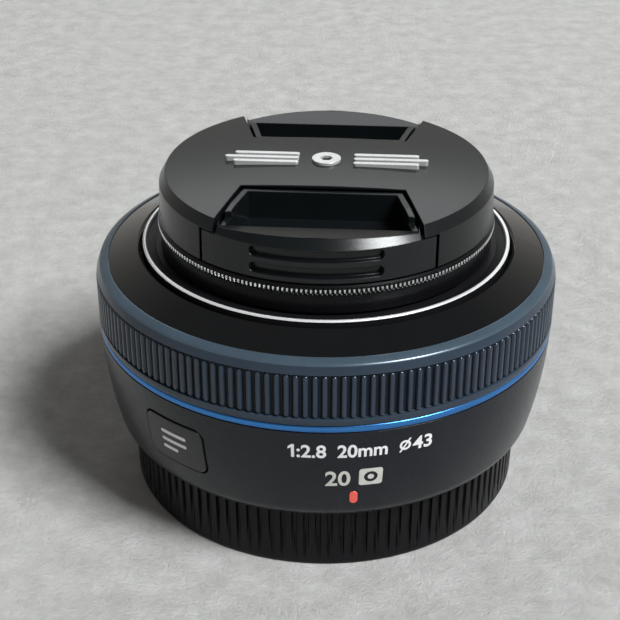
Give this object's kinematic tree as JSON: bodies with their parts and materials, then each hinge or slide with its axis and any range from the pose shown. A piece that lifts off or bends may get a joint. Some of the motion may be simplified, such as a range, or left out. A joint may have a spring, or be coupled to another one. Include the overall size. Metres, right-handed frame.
{
  "type": "prime camera lens",
  "caption": "Compact autofocus prime camera lens with ribbed focus ring, side function button, front filter, pinch front cap and bayonet rear cap",
  "frame": {"origin": "centre of the rear cap's underside, on the optical axis", "axes": "+Z along the optical axis towards the front of the lens, -Y the side with the index mark, +X to the right seen from that side"},
  "size_m": [0.0624, 0.0624, 0.046],
  "materials": {
    "cap_black": "matte moulded",
    "mount_metal": "satin chromed metal",
    "steel": "satin",
    "motor_steel": "satin",
    "inner_black": "matte",
    "gold": "gold plated",
    "frame_plastic": "glass filled",
    "board_green": "solder mask",
    "flex_amber": "polyimide film",
    "casing_black": "satin",
    "index_red": "gloss",
    "button_black": "satin",
    "accent_blue": "anodised blue",
    "shoulder_gloss": "high gloss",
    "ring_slate": "satin slate blue",
    "encoder_silver": "striped film",
    "trim_silver": "polished",
    "nut_brass": "turned",
    "filter_black": "black anodised",
    "filter_glass": "coated",
    "lens_glass": "coated",
    "blade_black": "matte",
    "front_cap_black": "satin moulded",
    "emblem_silver": "satin silver"
  },
  "bodies": {
    "lens_body": {"rear_casing": "casing_black", "accent_ring": "accent_blue", "front_shoulder": "shoulder_gloss", "main_frame": "frame_plastic", "mount_ring": "mount_metal", "mount_screws": "steel", "contact_block": "inner_black", "contact_pins": "gold", "rear_baffle": "inner_black", "circuit_board": "board_green", "board_screws": "steel", "flex_cable": "flex_amber", "guide_rods": "steel", "focus_motor": "motor_steel", "motor_bracket": "motor_steel", "home_sensor": "inner_black", "index_mark": "index_red", "button_switch": "steel", "ring_sensor": "inner_black"},
    "ring_body": {"focus_ring": "ring_slate", "encoder_ring": "encoder_silver"},
    "screw_body": {"lead_screw": "steel"},
    "front_unit": {"front_barrel": "inner_black", "trim_ring": "trim_silver", "name_ring": "inner_black", "lead_nut": "nut_brass", "front_cell": "inner_black", "cell_screws": "steel", "rear_cell": "inner_black", "front_retainer": "inner_black", "iris_base": "inner_black", "iris_cover": "inner_black", "iris_motor": "motor_steel", "element_1": "lens_glass", "element_2": "lens_glass", "element_3": "lens_glass", "element_4": "lens_glass", "element_5": "lens_glass", "element_6": "lens_glass"},
    "iris_ring": {"iris_drive_ring": "inner_black"},
    "pinion_body": {"iris_pinion": "nut_brass"},
    "filter_optic": {"filter_glass": "filter_glass", "filter_retainer": "filter_black"},
    "filter_body": {"filter_frame": "filter_black"},
    "front_cap": {"cap_disc": "front_cap_black", "cap_emblem": "emblem_silver", "cap_springs": "steel"},
    "tab_front": {"cap_tab_front": "front_cap_black"},
    "tab_rear": {"cap_tab_rear": "front_cap_black"},
    "rear_cap_body": {"rear_cap": "cap_black"},
    "button_body": {"function_button": "button_black"},
    "blade_1": {"iris_blade_1": "blade_black"},
    "blade_2": {"iris_blade_2": "blade_black"},
    "blade_3": {"iris_blade_3": "blade_black"},
    "blade_4": {"iris_blade_4": "blade_black"},
    "blade_5": {"iris_blade_5": "blade_black"},
    "blade_6": {"iris_blade_6": "blade_black"},
    "blade_7": {"iris_blade_7": "blade_black"}
  },
  "joints": [
    {"name": "focus_ring_turn", "type": "hinge", "parent": "lens_body", "child": "ring_body", "pos_m": [0, 0, 0.0284], "axis": [0, 0, 1], "continuous": true},
    {"name": "lead_screw_turn", "type": "hinge", "parent": "lens_body", "child": "screw_body", "pos_m": [0.01787, 0.00479, 0.023], "axis": [0, 0, 1], "range_deg": [-2233, 0]},
    {"name": "focus_travel", "type": "slide", "parent": "lens_body", "child": "front_unit", "axis": [0, 0, 1], "range_m": [0, 0.0031]},
    {"name": "iris_ring_turn", "type": "hinge", "parent": "front_unit", "child": "iris_ring", "pos_m": [0, 0, 0.0231], "axis": [0, 0, 1], "range_deg": [0, 6]},
    {"name": "iris_pinion_turn", "type": "hinge", "parent": "front_unit", "child": "pinion_body", "pos_m": [0.0066, 0.01143, 0.0231], "axis": [0, 0, 1], "range_deg": [-60.1, 0]},
    {"name": "blade_1_turn", "type": "hinge", "parent": "front_unit", "child": "blade_1", "pos_m": [0.0082, 0, 0.0222], "axis": [0, 0, 1], "range_deg": [0, 26.1]},
    {"name": "blade_2_turn", "type": "hinge", "parent": "front_unit", "child": "blade_2", "pos_m": [0.00511, 0.00641, 0.0222], "axis": [0, 0, 1], "range_deg": [0, 26.1]},
    {"name": "blade_3_turn", "type": "hinge", "parent": "front_unit", "child": "blade_3", "pos_m": [-0.00182, 0.00799, 0.0222], "axis": [0, 0, 1], "range_deg": [0, 26.1]},
    {"name": "blade_4_turn", "type": "hinge", "parent": "front_unit", "child": "blade_4", "pos_m": [-0.00739, 0.00356, 0.0222], "axis": [0, 0, 1], "range_deg": [0, 26.1]},
    {"name": "blade_5_turn", "type": "hinge", "parent": "front_unit", "child": "blade_5", "pos_m": [-0.00739, -0.00356, 0.0222], "axis": [0, 0, 1], "range_deg": [0, 26.1]},
    {"name": "blade_6_turn", "type": "hinge", "parent": "front_unit", "child": "blade_6", "pos_m": [-0.00182, -0.00799, 0.0222], "axis": [0, 0, 1], "range_deg": [0, 26.1]},
    {"name": "blade_7_turn", "type": "hinge", "parent": "front_unit", "child": "blade_7", "pos_m": [0.00511, -0.00641, 0.0222], "axis": [0, 0, 1], "range_deg": [0, 26.1]},
    {"name": "filter_lift", "type": "slide", "parent": "front_unit", "child": "filter_optic", "axis": [0, 0, 1], "range_m": [0, 0.0026]},
    {"name": "filter_turn", "type": "hinge", "parent": "filter_optic", "child": "filter_body", "pos_m": [0, 0, 0.036], "axis": [0, 0, 1], "range_deg": [0, 1249]},
    {"name": "front_cap_pull", "type": "slide", "parent": "filter_body", "child": "front_cap", "axis": [0, 0, 1], "range_m": [0, 0.012]},
    {"name": "front_tab_pinch", "type": "slide", "parent": "front_cap", "child": "tab_front", "axis": [0.0541, 0.9985, 0], "range_m": [0, 0.0015], "stiffness_N_per_m": 500, "springref_m": -0.002, "deforming": ["cap_springs"]},
    {"name": "rear_tab_pinch", "type": "slide", "parent": "front_cap", "child": "tab_rear", "axis": [-0.0541, -0.9985, 0], "range_m": [0, 0.0015], "stiffness_N_per_m": 500, "springref_m": -0.002, "deforming": ["cap_springs"]},
    {"name": "rear_cap_pull", "type": "slide", "parent": "lens_body", "child": "rear_cap_body", "axis": [0, 0, -1], "range_m": [0, 0.012]},
    {"name": "button_press", "type": "slide", "parent": "lens_body", "child": "button_body", "axis": [0.6225, 0.7826, 0], "range_m": [0, 0.0004], "stiffness_N_per_m": 800, "springref_m": -0.0005}
  ],
  "couplings": [
    {"joint": "lead_screw_turn", "follows": "focus_travel", "rad_per_m": -12566},
    {"joint": "iris_pinion_turn", "follows": "iris_ring_turn", "ratio": -10},
    {"joint": "filter_turn", "follows": "filter_lift", "rad_per_m": 8377.6},
    {"joint": "blade_1_turn", "follows": "iris_ring_turn", "ratio": 4.3333},
    {"joint": "blade_2_turn", "follows": "iris_ring_turn", "ratio": 4.3333},
    {"joint": "blade_3_turn", "follows": "iris_ring_turn", "ratio": 4.3333},
    {"joint": "blade_4_turn", "follows": "iris_ring_turn", "ratio": 4.3333},
    {"joint": "blade_5_turn", "follows": "iris_ring_turn", "ratio": 4.3333},
    {"joint": "blade_6_turn", "follows": "iris_ring_turn", "ratio": 4.3333},
    {"joint": "blade_7_turn", "follows": "iris_ring_turn", "ratio": 4.3333}
  ]
}
